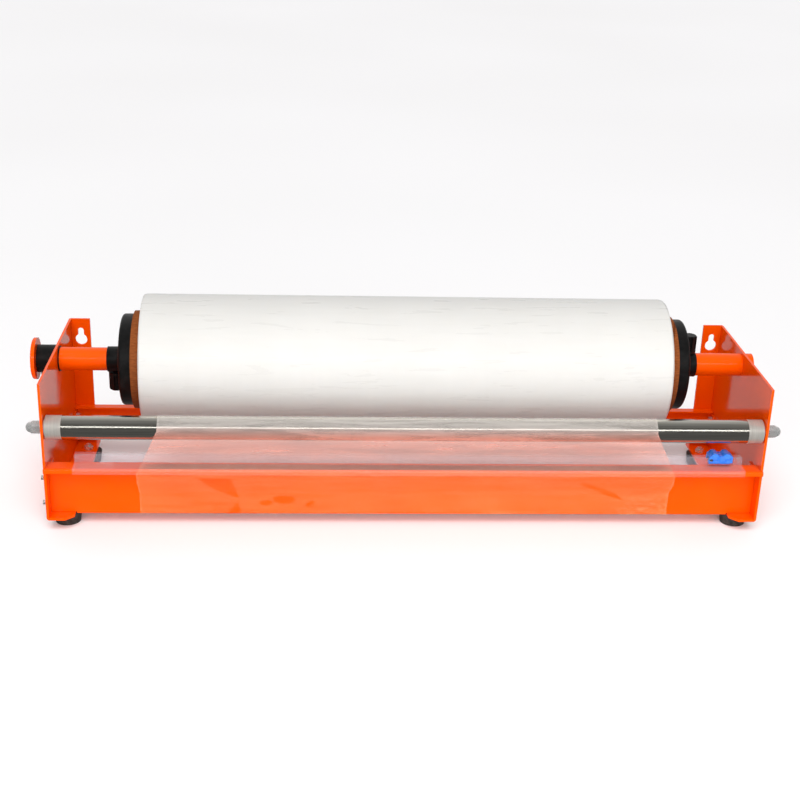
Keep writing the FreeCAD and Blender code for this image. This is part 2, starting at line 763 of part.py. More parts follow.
def film_roll():
    half_core, half_film = "core_length / 2", "film_width / 2"
    piece("paper_core", tube("core", "X", "core_radius", "core_bore_radius",
                             minus(half_core), half_core, SPINDLE_AXIS))
    piece("film_winding", tube("winding", "X", "film_roll_radius", "core_radius",
                               minus(half_film), half_film, SPINDLE_AXIS))


def spindle_assembly():
    for side, screw_way in (("left", -1), ("right", 1)):
        spindle(side)
        chuck(side, screw_way)
        thumb_screw(side + "_drag_screw", thumb_x(side), screw_way,
                    "axle_radius + spindle_clearance", "chuck_hub_radius")
    left_bush()
    pull_disc()
    thumb_screw("spindle_lock_screw", BUSH_SCREW_X, -1, "tube_radius + spindle_clearance",
                "bush_radius")
    film_roll()


# --- guide roller ---------------------------------------------------------------------------
def guide_roller():
    """A thin tube on two end bushes that turn on a fixed rod between the side plates."""
    tube_end = "roller_half_length - roller_bush_length"
    bore = "roller_radius - roller_wall"
    piece("guide_roller_tube", tube("roller", "X", "roller_radius", bore, minus(tube_end),
                                    tube_end, ROLLER_AXIS))
    bushes, slips, washers, acorns = [], [], [], []
    for side, sign in SIDES.items():
        head = cylinder("roller_bush_head_" + side, "X", "roller_radius",
                        *span(sign, tube_end, "roller_half_length"), ROLLER_AXIS)
        spigot = cylinder("roller_bush_spigot_" + side, "X", bore,
                          *span(sign, tube_end + " - roller_spigot_length", tube_end), ROLLER_AXIS)
        hollow = cylinder("roller_bush_bore_" + side, "X", "rod_radius + rod_clearance",
                          *span(sign, tube_end + " - roller_spigot_length - over_cut",
                                "roller_half_length + over_cut"), ROLLER_AXIS)
        bushes.append(cut("roller_bush_" + side,
                          fuse("roller_bush_whole_" + side, head, spigot), hollow))
        slips.append(tube("thrust_washer_" + side, "X", "thrust_washer_radius", "rod_radius",
                          *span(sign, "roller_half_length + thrust_washer_gap", PLATE_INNER),
                          ROLLER_AXIS))
        washer_end = PLATE_OUTER + " + washer_thickness"
        washers.append(tube("washer_" + side, "X", "washer_radius", "rod_radius",
                            *span(sign, PLATE_OUTER, washer_end), ROLLER_AXIS))
        acorns.append(acorn_nut("acorn_" + side, sign, washer_end))
    piece("roller_end_bushes", group("roller_bush_group", bushes))
    piece("roller_thrust_washers", group("thrust_washer_group", slips))
    piece("roller_washers", group("washer_group", washers))
    piece("roller_acorn_nuts", group("acorn_group", acorns))
    piece("roller_rod", cylinder("rod", "X", "rod_radius", minus("rod_half_length"),
                                 "rod_half_length", ROLLER_AXIS))


def acorn_nut(name, sign, seat):
    """A hexagon with a round dome, bored blind for the rod."""
    dome_radius = "acorn_across / 2 - acorn_dome_inset"
    dome_centre = "%s + acorn_height - (%s)" % (seat, dome_radius)
    hexed = hexagon(name + "_hex", "X", "acorn_across", *span(sign, seat, dome_centre), ROLLER_AXIS)
    dome = doc.addObject("Part::Sphere", name + "_dome")
    bind(dome, Radius=dome_radius)
    put(dome, "%d * (%s)" % (sign, dome_centre), *ROLLER_AXIS)
    chamfer = cone(name + "_chamfer", "X",
                   *["acorn_across / 2 + acorn_chamfer", "acorn_across / 2"][::sign],
                   *span(sign, seat, dome_centre), ROLLER_AXIS)
    hole = cylinder(name + "_hole", "X", "rod_radius",
                    *span(sign, seat + " - over_cut", "rod_half_length"), ROLLER_AXIS)
    shaped = doc.addObject("Part::MultiCommon", name + "_shaped")
    shaped.Shapes = [hexed, chamfer]
    return cut(name, fuse(name + "_whole", shaped, dome), hole)


# --- cutter track and slider ----------------------------------------------------------------
TRACK = ("track_left", "track_right")
BASE_TOP = LIP_TOP + " + tape_thickness + track_base"
RAIL_TOP = BASE_TOP + " + track_rail_height"
RAIL_BACK = "track_rail_front + track_rail_width"
SLOT_MIDDLE = "track_rail_front + track_rail_width / 2"
GROOVE = ("track_rail_front + track_wall", RAIL_BACK + " - track_wall")
GROOVE_ROOF = RAIL_TOP + " - track_roof"


def cutter_track():
    """A clear extrusion: an angle stuck over the lip, and a rail with an undercut slot."""
    hem_front = FRONT + " - lip_overhang"
    base = block("track_base_strip", TRACK, (hem_front + " - track_leg", RAIL_BACK),
                 (LIP_TOP + " + tape_thickness", BASE_TOP))
    leg = block("track_front_leg", TRACK, (hem_front + " - track_leg", hem_front),
                (LIP_TOP + " - hem_height", BASE_TOP))
    rail = block("track_rail", TRACK, ("track_rail_front", RAIL_BACK), (BASE_TOP, RAIL_TOP))
    groove = block("track_groove", ("track_left - over_cut", "track_right + over_cut"), GROOVE,
                   (BASE_TOP, GROOVE_ROOF))
    slot = block("track_slot_cut", ("track_left - over_cut", "track_right + over_cut"),
                 (SLOT_MIDDLE + " - track_slot / 2", SLOT_MIDDLE + " + track_slot / 2"),
                 (GROOVE_ROOF + " - over_cut", RAIL_TOP + " + over_cut"))
    piece("cutter_track", cut("track", fuse("track_whole", base, leg, rail), groove, slot))
    piece("track_tape", block("tape", ("track_left + tape_inset", "track_right - tape_inset"),
                              (hem_front + " + tape_inset", "track_rail_front"),
                              (LIP_TOP, LIP_TOP + " + tape_thickness")))
    stops = [block("track_stop_left", ("track_left", "track_left + track_stop_length"), GROOVE,
                   (BASE_TOP, GROOVE_ROOF)),
             block("track_stop_right", ("track_right - track_stop_length", "track_right"), GROOVE,
                   (BASE_TOP, GROOVE_ROOF))]
    piece("track_end_stops", group("track_stops", stops))


def cutter_slider():
    """A saddle over the rail with a foot in its groove, and the blade that it carries."""
    middle_x = "slider_centre"
    half = "slider_length / 2"
    x = (middle_x + " - " + half, middle_x + " + " + half)
    inner = ("track_rail_front - slider_gap", RAIL_BACK + " + slider_gap")
    outer = (inner[0] + " - slider_side", inner[1] + " + slider_side")
    skirt = BASE_TOP + " + slider_skirt_rise"
    saddle = rounded("slider_saddle", block("slider_saddle_block", x, outer, (skirt, "slider_top")),
                     size("slider_round"),
                     lambda edge: runs_along(edge, "z") or near(middle(edge).z, size("slider_top")))
    humps = []
    for i, sign in enumerate((-1, 1)):
        place = ("%s + %d * slider_hump_pitch / 2" % (middle_x, sign),
                 "slider_hump_top - slider_hump_radius")
        humps.append(rounded("slider_hump_%d" % i,
                             cylinder("slider_hump_bar_%d" % i, "Y", "slider_hump_radius", *outer,
                                      place),
                             size("slider_hump_round"),
                             lambda edge: isinstance(edge.Curve, Part.Circle)))
    tunnel = block("slider_tunnel", (x[0] + " - over_cut", x[1] + " + over_cut"), inner,
                   (skirt + " - over_cut", RAIL_TOP + " + slider_gap"))
    grips = []
    for i, sign in enumerate((-1, 1)):
        at = "%s + %d * slider_hump_pitch / 2" % (middle_x, sign)
        grips.append(block("slider_grip_%d" % i,
                           (at + " - grip_width / 2", at + " + grip_width / 2"),
                           (outer[0] + " - over_cut", outer[0] + " + grip_depth"),
                           ("slider_top - grip_low", "slider_top - grip_low + grip_height")))
    shell = cut("slider_shell", fuse("slider_outside", saddle, *humps), tunnel, *grips)
    foot_x = (middle_x + " - slider_foot_length / 2", middle_x + " + slider_foot_length / 2")
    neck = block("slider_neck", foot_x,
                 (SLOT_MIDDLE + " - slider_neck / 2", SLOT_MIDDLE + " + slider_neck / 2"),
                 (GROOVE_ROOF + " - slider_foot_gap - over_cut", RAIL_TOP + " + slider_gap"))
    foot = block("slider_foot", foot_x,
                 (GROOVE[0] + " + slider_foot_gap", GROOVE[1] + " - slider_foot_gap"),
                 (BASE_TOP + " + slider_foot_gap", GROOVE_ROOF + " - slider_foot_gap"))
    blade_y = (outer[0] + " + slider_side / 2 - blade_thickness / 2",
               outer[0] + " + slider_side / 2 + blade_thickness / 2")
    blade_z = (skirt + " + blade_rise", skirt + " + blade_rise + blade_height")
    blade_x = ("%s - blade_length / 2" % middle_x, "%s + blade_length / 2" % middle_x)
    pocket = block("slider_pocket", blade_x, blade_y, blade_z)
    window = block("slider_window", ("%s - blade_length" % middle_x, blade_x[0] + " + window_reach"),
                   (outer[0] + " - over_cut", outer[0] + " + slider_side / 2"),
                   (skirt + " + window_low", skirt + " + window_low + window_height"))
    piece("cutter_slider", cut("slider", fuse("slider_whole", shell, neck, foot), pocket, window))
    piece("cutter_blade", block("blade", blade_x, blade_y, blade_z))


# --- the film that has been drawn off the roll ----------------------------------------------
def toward(angle, radius=1.0):
    """A vector in the YZ plane; the angle is in radians from +Y towards +Z."""
    return Vector(0, math.cos(angle), math.sin(angle)) * radius


def film_sheet(label, corners, thickness):
    """A flat sheet with straight edges, given its four corners and a thickness vector."""
    face = Part.Face(Part.makePolygon(corners + corners[:1]))
    feature = doc.addObject("Part::Feature", label + "_sheet")
    feature.Shape = face.extrude(thickness)
    return piece(label, feature)


def across(point, width, sign):
    return Vector(sign * width / 2, point.y, point.z)


def flat_span(label, start, end, start_width, end_width, thickness):
    corners = [across(start, start_width, -1), across(start, start_width, 1),
               across(end, end_width, 1), across(end, end_width, -1)]
    return film_sheet(label, corners, thickness)


def film_path():
    """Film rises from under the roll, passes over the roller and hangs over the lip's front."""
    gap, gauge = size("film_gap"), size("film_gauge")
    roll = Vector(0, size("spindle_depth"), size("spindle_height"))
    roller = Vector(0, size("roller_depth"), size("roller_height"))
    roll_radius = size("film_roll_radius") + gap
    wrap_radius = size("roller_radius") + gap
    line = roller - roll
    lean = math.atan2(line.z, line.y)
    feed = lean + math.pi + math.acos((roll_radius + wrap_radius) / line.Length)
    # The feed line touches the roll on one side and the roller on the other.
    leave_roll = roll + toward(feed, -roll_radius)
    meet_roller = roller + toward(feed, wrap_radius)
    feed_side = toward(feed, gauge)
    flat_span("film_feed_span", leave_roll, meet_roller, size("film_width"), size("web_width"),
              feed_side)
    edge = Vector(0, size(FRONT + " - lip_overhang - track_leg") - gap, size(BASE_TOP))
    drop = edge - roller
    leave = math.atan2(drop.z, drop.y) - math.acos(wrap_radius / drop.Length)
    leave_roller = roller + toward(leave, wrap_radius)
    flat_span("film_drop_span", leave_roller, edge, size("web_width"), size("drop_width"),
              toward(leave, gauge))
    film_wrap(roller, wrap_radius, feed, leave)
    film_tail(edge, toward(leave, gauge))


def film_wrap(roller, radius, start, end):
    """The stretch that lies round the roller, as a thin shell."""
    half = size("web_width") / 2
    outer = radius + size("film_gauge")
    if end < start:
        end += 2 * math.pi
    rings = []
    for reach in (radius, outer):
        points = [roller + toward(angle, reach) + Vector(-half, 0, 0)
                  for angle in (start, (start + end) / 2, end)]
        rings.append(Part.Arc(*points).toShape())
    inner_arc, outer_arc = rings
    ends = [Part.makeLine(inner_arc.valueAt(arc_end(inner_arc, i)),
                          outer_arc.valueAt(arc_end(outer_arc, i))) for i in range(2)]
    face = Part.Face(Part.Wire(Part.__sortEdges__([inner_arc, outer_arc] + ends)))
    feature = doc.addObject("Part::Feature", "film_wrap_shell")
    feature.Shape = face.extrude(Vector(2 * half, 0, 0))
    piece("film_roller_wrap", feature)


def arc_end(arc, which):
    return arc.LastParameter if which else arc.FirstParameter


def film_tail(top, thickness):
    """The loose end: over the track's front leg, then in towards the panel and down it."""
    gauge, gap = size("film_gauge"), size("film_gap")
    panel = size(FRONT + " - lip_overhang + lip_depth - rail_sheet") - gap - gauge
    leg_foot = size(LIP_TOP + " - hem_height")
    turn = leg_foot - size("tail_turn")
    inner = [top, Vector(0, top.y, turn), Vector(0, panel + gauge, leg_foot / 2),
             Vector(0, panel + gauge, size("tail_bottom"))]
    outer = [top + thickness, Vector(0, top.y - gauge, turn),
             Vector(0, panel, leg_foot / 2 - gauge), Vector(0, panel, size("tail_bottom"))]
    outline = [Vector(-size("tail_width") / 2, p.y, p.z) for p in inner + outer[::-1]]
    face = Part.Face(Part.makePolygon(outline + outline[:1]))
    feature = doc.addObject("Part::Feature", "film_tail_sheet")
    feature.Shape = face.extrude(Vector(size("tail_width"), 0, 0))
    piece("film_tail", feature)


# --- build, check and write -----------------------------------------------------------------
def check_document():
    """Stop if any object failed, or any sub-part's shape is empty or broken."""
    for obj in doc.Objects:
        if {"Invalid", "Error"} & set(obj.State):
            raise RuntimeError("%s failed: %s" % (obj.Name, obj.State))
    for obj in PIECES:
        shape = obj.Shape
        if shape.isNull() or not shape.isValid() or not shape.Solids:
            raise RuntimeError("%s has no sound shape" % obj.Label)


side_plates()
front_rail()
rear_rail()
rail_fasteners()
feet()
spindle_assembly()
guide_roller()
cutter_track()
cutter_slider()
film_path()
doc.recompute()
check_document()
os.makedirs("parts", exist_ok=True)
for obj in PIECES:
    obj.Shape.exportStep(os.path.join("parts", obj.Label + ".step"))
print(len(PIECES), "pieces")
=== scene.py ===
import json
import math

import bpy
import numpy as np
from mathutils import Matrix, Vector, noise


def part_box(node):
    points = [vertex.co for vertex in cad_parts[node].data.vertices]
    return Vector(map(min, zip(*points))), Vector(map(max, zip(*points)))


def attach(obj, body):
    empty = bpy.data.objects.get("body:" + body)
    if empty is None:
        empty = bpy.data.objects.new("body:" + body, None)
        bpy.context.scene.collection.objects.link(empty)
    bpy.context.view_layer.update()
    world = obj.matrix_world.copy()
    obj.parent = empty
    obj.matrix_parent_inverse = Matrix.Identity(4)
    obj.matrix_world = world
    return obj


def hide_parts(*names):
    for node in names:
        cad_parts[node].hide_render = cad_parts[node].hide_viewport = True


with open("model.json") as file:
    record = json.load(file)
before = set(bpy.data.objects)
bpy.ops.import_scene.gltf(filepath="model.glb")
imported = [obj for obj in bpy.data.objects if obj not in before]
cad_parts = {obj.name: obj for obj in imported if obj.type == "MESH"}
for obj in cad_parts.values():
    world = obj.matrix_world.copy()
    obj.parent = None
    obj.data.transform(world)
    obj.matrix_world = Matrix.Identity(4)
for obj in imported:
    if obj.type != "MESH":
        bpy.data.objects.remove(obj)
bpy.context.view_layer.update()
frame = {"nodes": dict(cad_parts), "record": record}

MM = 0.001

# Camera: lens and sensor in mm, place and clips in metres, angles in degrees.
LENS = 63.0
SENSOR_WIDTH = 36.0
NEAR_CLIP, FAR_CLIP = 0.05, 40.0
CAMERA_PLACE = Vector((-0.0802, -1.1291, 0.5591))
CAMERA_YAW = 3.87
CAMERA_PITCH = 22.62
CAMERA_ROLL = 1.91

# The bench. Then the room: the way to its bright side, and its brightness at places from its
# dark side, 0, to that side, 1.
FLOOR_HALF_SIDE = 7.0
WORLD_BRIGHT_WAY = (0.0, 0.954, 0.300)
WORLD_SHADES = ((0.0, 0.10), (0.25, 0.12), (0.50, 0.20), (0.68, 0.30), (0.85, 0.50), (1.0, 0.75))

# The wound roll of film: its mesh, its hoops and slack turns, its ragged ends and rounded rims.
ROLL_SEGMENTS = 224
ROLL_STATIONS = 240
ROLL_FACE_RINGS = 18
HOOP_DEPTH = 0.14 * MM
SLACK_DEPTH = 0.10 * MM
LAYER_STEP = 0.45 * MM
RIM_WIDTH = 2.5 * MM
RIM_DROP = 0.5 * MM

# The film drawn off the roll: its mesh and how far it stands off what it lies on.
FILM_COLUMNS = 320
FILM_ROW_PITCH = 1.0 * MM
FILM_STANDOFF = 0.35 * MM
PAINTED_BOUNCE_ROWS = 4
# Below the lip the tail hangs straight, then closes in on the panel until it touches. It reaches
# its full width within this share of its length.
TAIL_LEG = 6.0 * MM
TAIL_TOUCH = 32.0 * MM
TAIL_SPREAD = 0.12
# The sheet's side edges and its loose end.
EDGE_WIDTH = 3.0 * MM
EDGE_FRAY = 0.7 * MM
EDGE_CURL = 0.8 * MM
EDGE_HAZE = 0.07
LEAST_HAZE = 0.01
END_SWING = 0.9 * MM
# The crumpled corner of the tail: across from its start to where it is full, and up from the floor.
CRUMPLE_START, CRUMPLE_FULL = 165 * MM, 205 * MM
CRUMPLE_TOP = 34 * MM
CRUMPLE_FADE = 12 * MM
CRUMPLE_DEPTH = 1.6 * MM
CRUMPLE_HAZE = 0.20
# Each stretch's waves, its milkiness and its painted bounce light and shade, taken from what lies behind
# it.
FILM_WAVES = {"feed": 0.30 * MM, "roller": 0.02 * MM, "drop": 0.40 * MM, "tail": 0.55 * MM}
FILM_HAZES = {"feed": 0.14, "roller": 0.30, "drop": 0.32, "tail": 0.075}
FILM_PAINTED_BOUNCE = {
    "feed": (0.93, 0.86, 0.80),
    "roller": (0.93, 0.85, 0.79),
    "drop": (1.0, 0.40, 0.30),
    "tail": (1.0, 0.88, 0.42),
}


# ---------------------------------------------------------------- shader helpers


def set_ramp(node, stops):
    """Give a colour ramp its (place, colour) stops."""
    elements = node.color_ramp.elements
    while len(elements) < len(stops):
        elements.new(0.5)
    for element, (place, colour) in zip(elements, stops):
        element.position = place
        element.color = (*colour, 1.0)


class Shader:
    """A node material built around one Principled shader."""

    def __init__(self, name, **constants):
        self.material = bpy.data.materials.new(name)
        self.material.use_nodes = True
        self.tree = self.material.node_tree
        self.surface = self.tree.nodes["Principled BSDF"]
        for socket, value in constants.items():
            self.surface.inputs[socket.replace("_", " ")].default_value = value
        self.place = self.add("ShaderNodeTexCoord").outputs["Object"]

    def add(self, kind, **settings):
        node = self.tree.nodes.new(kind)
        for key, value in settings.items():
            setattr(node, key, value)
        return node

    def join(self, output, target):
        self.tree.links.new(output, target)

    def feed(self, output, socket):
        """Join an output to a socket of the Principled shader."""
        self.join(output, self.surface.inputs[socket])

    def stretched(self, scale):
        """Object coordinates scaled along each axis, in features per metre."""
        node = self.add("ShaderNodeMapping")
        node.inputs["Scale"].default_value = scale
        self.join(self.place, node.inputs["Vector"])
        return node.outputs["Vector"]

    def noise(self, scale, detail=2.0, roughness=0.5, distortion=0.0):
        """Noise from 0 to 1 with a scale for each axis."""
        node = self.add("ShaderNodeTexNoise")
        node.inputs["Scale"].default_value = 1.0
        node.inputs["Detail"].default_value = detail
        node.inputs["Roughness"].default_value = roughness
        node.inputs["Distortion"].default_value = distortion
        self.join(self.stretched(scale), node.inputs["Vector"])
        return node.outputs["Fac"]

    def even_noise(self, scale, **more):
        return self.noise((scale, scale, scale), **more)

    def span(self, value, low, high, start=0.35, end=0.65):
        """The value between start and end, stretched over low to high."""
        node = self.add("ShaderNodeMapRange")
        limits = {"From Min": start, "From Max": end, "To Min": low, "To Max": high}
        for socket, number in limits.items():
            node.inputs[socket].default_value = number
        self.join(value, node.inputs["Value"])
        return node.outputs["Result"]

    def shades(self, value, *stops):
        """Colours at places along the value, as (place, colour) pairs."""
        node = self.add("ShaderNodeValToRGB")
        set_ramp(node, stops)
        self.join(value, node.inputs["Fac"])
        return node.outputs["Color"]

    def maths(self, operation, *values):
        """One operation on numbers and outputs."""
        node = self.add("ShaderNodeMath", operation=operation)
        for socket, value in zip(node.inputs, values):
            if isinstance(value, (int, float)):
                socket.default_value = value
            else:
                self.join(value, socket)
        return node.outputs["Value"]

    def axes(self):
        node = self.add("ShaderNodeSeparateXYZ")
        self.join(self.place, node.inputs["Vector"])
        return node.outputs["X"], node.outputs["Y"], node.outputs["Z"]

    def bump(self, height, distance, strength=1.0):
        """Bump in metres. A second call adds to the first."""
        node = self.add("ShaderNodeBump")
        node.inputs["Distance"].default_value = distance
        node.inputs["Strength"].default_value = strength
        self.join(height, node.inputs["Height"])
        linked = self.surface.inputs["Normal"].links
        if linked:
            self.join(linked[0].from_socket, node.inputs["Normal"])
        self.feed(node.outputs["Normal"], "Normal")


# ---------------------------------------------------------------- materials


def orange_paint():
    """Glossy powder coat over folded sheet: orange peel and a slow drift of shade."""
    s = Shader("orange_paint", Specular_IOR_Level=0.32)
    drift = s.even_noise(18, detail=3)
    s.feed(s.shades(drift, (0.3, (0.93, 0.084, 0.0)), (0.7, (0.98, 0.099, 0.0))), "Base Color")
    s.feed(s.span(s.even_noise(70, detail=4), 0.07, 0.13), "Roughness")
    s.bump(s.even_noise(520, detail=1), 0.03 * MM, 0.30)
    s.bump(s.even_noise(2600, detail=1), 0.008 * MM, 0.3)
    return s.material


def roller_steel():
    """Drawn and polished tube: scratches run along it, with a few dull spots."""
    s = Shader("roller_steel", Metallic=1.0)
    lines = s.noise((14, 1500, 1500), detail=4, roughness=0.65)
    spots = s.even_noise(230, detail=4, roughness=0.7)
    s.feed(s.shades(lines, (0.3, (0.52, 0.50, 0.44)), (0.7, (0.74, 0.72, 0.65))), "Base Color")
    s.feed(s.maths("MULTIPLY", s.span(lines, 0.8, 1.35), s.span(spots, 0.09, 0.20)), "Roughness")
    s.bump(lines, 0.02 * MM, 0.6)
    s.bump(spots, 0.02 * MM, 0.3)
    return s.material


def turned_aluminium():
    """Satin bush with fine turning marks round it."""
    s = Shader("turned_aluminium", Metallic=0.65)
    rings = s.noise((5200, 30, 30), detail=2)
    s.feed(s.shades(rings, (0.3, (0.55, 0.52, 0.47)), (0.7, (0.72, 0.69, 0.635))), "Base Color")
    s.feed(s.span(s.even_noise(320, detail=3), 0.40, 0.54), "Roughness")
    s.bump(rings, 0.02 * MM, 0.5)
    return s.material


def zinc_steel():
    """Bright zinc plate with the patchy bloom that it gets."""
    s = Shader("zinc_steel", Metallic=0.75)
    bloom = s.even_noise(260, detail=3, roughness=0.5)
    s.feed(s.shades(bloom, (0.3, (0.66, 0.66, 0.65)), (0.7, (0.82, 0.82, 0.80))), "Base Color")
    s.feed(s.span(bloom, 0.34, 0.22), "Roughness")
    s.bump(s.even_noise(1500, detail=2), 0.02 * MM, 0.4)
    return s.material


def black_plastic():
    """Moulded black nylon with a fine spark-eroded grain and a little dust."""
    s = Shader("black_plastic", Specular_IOR_Level=0.30)
    dust = s.even_noise(140, detail=6, roughness=0.75)
    s.feed(s.shades(dust, (0.45, (0.004, 0.004, 0.004)), (0.80, (0.016, 0.015, 0.015))), "Base Color")
    s.feed(s.span(dust, 0.34, 0.56), "Roughness")
    s.bump(s.even_noise(1900, detail=2), 0.03 * MM, 0.6)
    return s.material


def core_board():
    """Spiral-wound brown board: a seam every turn, ply edges and long fibres."""
    s = Shader("core_board", Specular_IOR_Level=0.2)
    low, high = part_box("paper_core")
    middle = (low + high) / 2
    x, y, z = s.axes()
    turn = s.maths("ARCTAN2", s.maths("SUBTRACT", z, middle.z), s.maths("SUBTRACT", y, middle.y))
    wound = s.maths("ADD", s.maths("DIVIDE", turn, 2 * math.pi), s.maths("MULTIPLY", x, 16.0))
    place = s.maths("FRACT", wound)
    seam = s.maths("LESS_THAN", place, 0.03)
    fibres = s.noise((260, 900, 900), detail=5, roughness=0.7)
    board = s.shades(fibres, (0.3, (0.15, 0.036, 0.008)), (0.7, (0.32, 0.095, 0.026)))
    darker = s.add("ShaderNodeMixRGB", blend_type="MULTIPLY")
    darker.inputs["Color2"].default_value = (0.55, 0.48, 0.42, 1.0)
    s.join(seam, darker.inputs["Fac"])
    s.join(board, darker.inputs["Color1"])
    s.feed(darker.outputs["Color"], "Base Color")
    s.feed(s.span(fibres, 0.74, 0.92), "Roughness")
    s.bump(fibres, 0.06 * MM, 0.5)
    s.bump(s.maths("SUBTRACT", 1.0, seam), 0.15 * MM, 0.6)
    return s.material


def film_roll_white():
    """Hundreds of turns of clear film: milky, a little glossy, with hoops and slack."""
    s = Shader(
        "film_roll_white",
        Subsurface_Weight=0.22,
        Subsurface_Scale=0.006,
        Coat_Weight=0.25,
        Coat_Roughness=0.16,
        Specular_IOR_Level=0.4,
    )
    s.surface.inputs["Subsurface Radius"].default_value = (1.0, 0.85, 0.7)
    hoops = s.noise((300, 7, 7), detail=3)
    slack = s.noise((22, 170, 170), detail=4, roughness=0.55, distortion=0.4)
    cloud = s.even_noise(20, detail=3)
    tone = s.maths("ADD", s.maths("MULTIPLY", slack, 0.4), s.maths("MULTIPLY", cloud, 0.6))
    s.feed(s.shades(tone, (0.34, (0.660, 0.648, 0.622)), (0.64, (0.690, 0.679, 0.654))), "Base Color")
    s.feed(s.span(slack, 0.26, 0.42), "Roughness")
    s.bump(hoops, 0.02 * MM, 0.2)
    s.bump(slack, 0.02 * MM, 0.12)
    return s.material


def film_clear():
    """Single film: nearly invisible where it clings, milky where it is loose or edge-on."""
    s = Shader("film_clear", Specular_IOR_Level=0.6, Coat_Weight=0.5, Coat_Roughness=0.05)
    haze = s.add("ShaderNodeAttribute", attribute_name="haze").outputs["Fac"]
    # The base colour is painted light: orange bounce light and shade, a colour stored for each point of
    # the film.
    s.feed(s.add("ShaderNodeAttribute", attribute_name="painted_bounce").outputs["Color"], "Base Color")
    streaks = s.noise((14, 190, 190), detail=4, roughness=0.6, distortion=0.6)
    facing = s.add("ShaderNodeLayerWeight")
    facing.inputs["Blend"].default_value = 0.35
    veil = s.maths("MULTIPLY", haze, s.span(streaks, 0.75, 1.35))
    edge = s.maths("MULTIPLY", facing.outputs["Facing"], 0.08)
    s.feed(s.maths("MINIMUM", s.maths("ADD", veil, edge), 0.85), "Alpha")
    s.feed(s.span(streaks, 0.08, 0.22), "Roughness")
    s.bump(s.even_noise(160, detail=3, distortion=0.5), 0.10 * MM, 0.5)
    return s.material


def clear_plastic(name, colour, alpha, roughness):
    """Clear extrusion or tape, with draw lines along it."""
    s = Shader(name, Specular_IOR_Level=0.7, Coat_Weight=0.8, Coat_Roughness=0.04)
    s.surface.inputs["Base Color"].default_value = (*colour, 1.0)
    lines = s.noise((6, 1400, 1400), detail=3)
    facing = s.add("ShaderNodeLayerWeight")
    facing.inputs["Blend"].default_value = 0.30
    edge = s.maths("MULTIPLY", facing.outputs["Facing"], 0.09)
    body = s.span(lines, alpha * 0.7, alpha * 1.3)
    s.feed(s.maths("MINIMUM", s.maths("ADD", body, edge), 0.95), "Alpha")
    s.feed(s.span(lines, roughness * 0.7, roughness * 1.4), "Roughness")
    s.bump(lines, 0.02 * MM, 0.5)
    return s.material


def slider_blue():
    """Moulded blue plastic, slightly translucent."""
    s = Shader("slider_blue", Subsurface_Weight=0.2, Subsurface_Scale=0.002, Coat_Weight=0.3)
    flow = s.even_noise(260, detail=3)
    s.feed(s.shades(flow, (0.3, (0.030, 0.185, 0.80)), (0.7, (0.055, 0.26, 0.90))), "Base Color")
    s.feed(s.span(flow, 0.22, 0.38), "Roughness")
    s.bump(s.even_noise(1700, detail=1), 0.02 * MM, 0.4)
    return s.material


def blade_steel():
    """Ground steel, with the wheel's fine lines along the blade."""
    s = Shader("blade_steel", Metallic=1.0)
    grind = s.noise((200, 200, 6000), detail=2)
    s.feed(s.shades(grind, (0.3, (0.50, 0.50, 0.53)), (0.7, (0.70, 0.70, 0.73))), "Base Color")
    s.feed(s.span(grind, 0.16, 0.30), "Roughness")
    s.bump(grind, 0.01 * MM, 0.4)
    return s.material


def foot_rubber():
    """Matt rubber with grey dust in its grain."""
    s = Shader("foot_rubber", Specular_IOR_Level=0.3)
    dust = s.even_noise(300, detail=5, roughness=0.7)
    s.feed(s.shades(dust, (0.35, (0.026, 0.021, 0.018)), (0.75, (0.085, 0.072, 0.064))), "Base Color")
    s.feed(s.span(dust, 0.62, 0.85), "Roughness")
    s.bump(s.even_noise(1400, detail=2), 0.05 * MM, 0.6)
    return s.material


def nylon_white():
    """Natural nylon, cloudy and slightly translucent."""
    s = Shader("nylon_white", Subsurface_Weight=0.15, Subsurface_Scale=0.002)
    cloud = s.even_noise(300, detail=3)
    s.feed(s.shades(cloud, (0.3, (0.68, 0.67, 0.61)), (0.7, (0.80, 0.79, 0.74))), "Base Color")
    s.feed(s.span(cloud, 0.38, 0.52), "Roughness")
    s.bump(s.even_noise(1600, detail=2), 0.02 * MM, 0.4)
    return s.material


MATERIALS = {
    "orange_paint": orange_paint(),
    "roller_steel": roller_steel(),
    "turned_aluminium": turned_aluminium(),
    "zinc_steel": zinc_steel(),
    "black_plastic": black_plastic(),
    "core_board": core_board(),
    "film_roll_white": film_roll_white(),
    "film_clear": film_clear(),
    "track_clear": clear_plastic("track_clear", (0.84, 0.86, 0.97), 0.055, 0.08),
    "tape_clear": clear_plastic("tape_clear", (0.90, 0.84, 0.80), 0.05, 0.30),
    "slider_blue": slider_blue(),
    "blade_steel": blade_steel(),
    "foot_rubber": foot_rubber(),
    "nylon_white": nylon_white(),
}


def finish_cad_nodes():
    """Every carried-over CAD node takes the material of its slot in the record."""
    for part in frame["record"]["subparts"]:
        mesh = frame["nodes"][part["node"]].data
        mesh.materials.clear()
        mesh.materials.append(MATERIALS[part["material_slot"]])


# ---------------------------------------------------------------- mesh helpers


def wave(x, y, z=0.0):
    """Smooth noise from about -1 to 1."""
    return noise.noise(Vector((x, y, z)))


def smooth(value):
    """Ease from 0 to 1, held beyond both ends."""
    value = min(max(value, 0.0), 1.0)
    return value * value * (3 - 2 * value)


def between(value, start, end):
    """0 before start, 1 after end, smooth in between."""
    return smooth((value - start) / (end - start))


def grid_faces(rows, columns, closed=False):
    """Quads of a grid of points. A closed grid joins its last column to its first."""
    across = columns if closed else columns - 1
    faces = []
    for row in range(rows - 1):
        for column in range(across):
            beside = (column + 1) % columns
            low, high = row * columns, (row + 1) * columns
            faces.append((low + column, low + beside, high + beside, high + column))
    return faces


